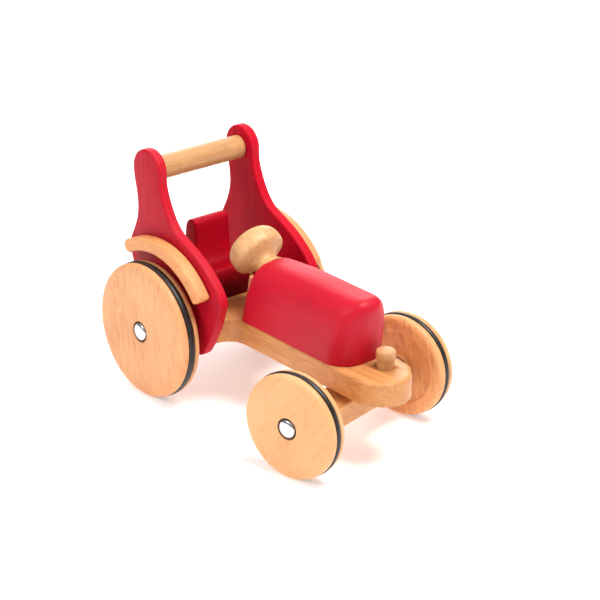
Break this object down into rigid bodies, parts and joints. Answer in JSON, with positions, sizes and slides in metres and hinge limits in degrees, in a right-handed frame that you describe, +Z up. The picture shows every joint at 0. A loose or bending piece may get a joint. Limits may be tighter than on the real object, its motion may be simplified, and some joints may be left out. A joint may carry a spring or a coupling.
{
  "type": "wooden toy tractor",
  "caption": "Wooden push-along toy tractor with a red barrel hood, tall side panels joined by a carrying bar, free-rolling wheels on rubber rings and a front axle steering on a peg.",
  "frame": {"origin": "centre of the bounding box on the floor that the wheels stand on", "axes": "+X towards the tractor's front, +Y towards its left side, +Z up"},
  "size_m": [0.2762, 0.167, 0.1941],
  "materials": {
    "alder_board": "oiled alder",
    "pale_alder": "oiled pale alder",
    "alder_guard": "oiled alder",
    "turned_wood": "turned and oiled",
    "dowel_wood": "sanded dowel",
    "red_plywood": "red stained plywood, satin",
    "red_stained_wood": "red stain, satin",
    "black_rubber": "matte",
    "bright_cap": "bright plated",
    "steel_rod": "drawn",
    "pale_spacer": "plain"
  },
  "bodies": {
    "tractor": {"chassis_board": "alder_board", "hood": "red_stained_wood", "console_plate": "alder_guard", "seat_block": "red_stained_wood", "side_panel_left": "red_plywood", "side_panel_right": "red_plywood", "mudguard_left": "alder_guard", "mudguard_right": "alder_guard", "handle_bar": "dowel_wood", "axle_rod_rear": "steel_rod", "axle_cap_rear_left": "bright_cap", "axle_cap_rear_right": "bright_cap", "spacer_rear_left": "pale_spacer", "spacer_rear_right": "pale_spacer"},
    "front_carriage": {"front_axle_beam": "alder_board", "steer_tongue": "alder_board", "kingpin_peg": "turned_wood", "axle_rod_front": "steel_rod", "axle_cap_front_left": "bright_cap", "axle_cap_front_right": "bright_cap", "spacer_front_left": "pale_spacer", "spacer_front_right": "pale_spacer"},
    "rear_left_wheel": {"wheel_rear_left": "pale_alder", "rubber_ring_rear_left": "black_rubber"},
    "rear_right_wheel": {"wheel_rear_right": "pale_alder", "rubber_ring_rear_right": "black_rubber"},
    "front_left_wheel": {"wheel_front_left": "pale_alder", "rubber_ring_front_left": "black_rubber"},
    "front_right_wheel": {"wheel_front_right": "pale_alder", "rubber_ring_front_right": "black_rubber"},
    "knob": {"steering_knob": "turned_wood", "knob_stem": "dowel_wood"}
  },
  "joints": [
    {"name": "front_steer", "type": "hinge", "parent": "tractor", "child": "front_carriage", "pos_m": [0.1112, 0.00594, 0.0637], "axis": [0, 0, 1], "range_deg": [-29, 15]},
    {"name": "rear_left_roll", "type": "hinge", "parent": "tractor", "child": "rear_left_wheel", "pos_m": [-0.0831, 0.0686, 0.055], "axis": [0, 1, 0], "continuous": true},
    {"name": "rear_right_roll", "type": "hinge", "parent": "tractor", "child": "rear_right_wheel", "pos_m": [-0.0831, -0.0658, 0.055], "axis": [0, 1, 0], "continuous": true},
    {"name": "front_left_roll", "type": "hinge", "parent": "front_carriage", "child": "front_left_wheel", "pos_m": [0.0678, 0.06758, 0.0417], "axis": [-0.1942, 0.981, 0], "continuous": true},
    {"name": "front_right_roll", "type": "hinge", "parent": "front_carriage", "child": "front_right_wheel", "pos_m": [0.09456, -0.06759, 0.0417], "axis": [-0.1942, 0.981, 0], "continuous": true},
    {"name": "knob_turn", "type": "hinge", "parent": "tractor", "child": "knob", "pos_m": [-0.0145, 0, 0.1111], "axis": [-0.8643, 0, 0.503], "continuous": true}
  ]
}
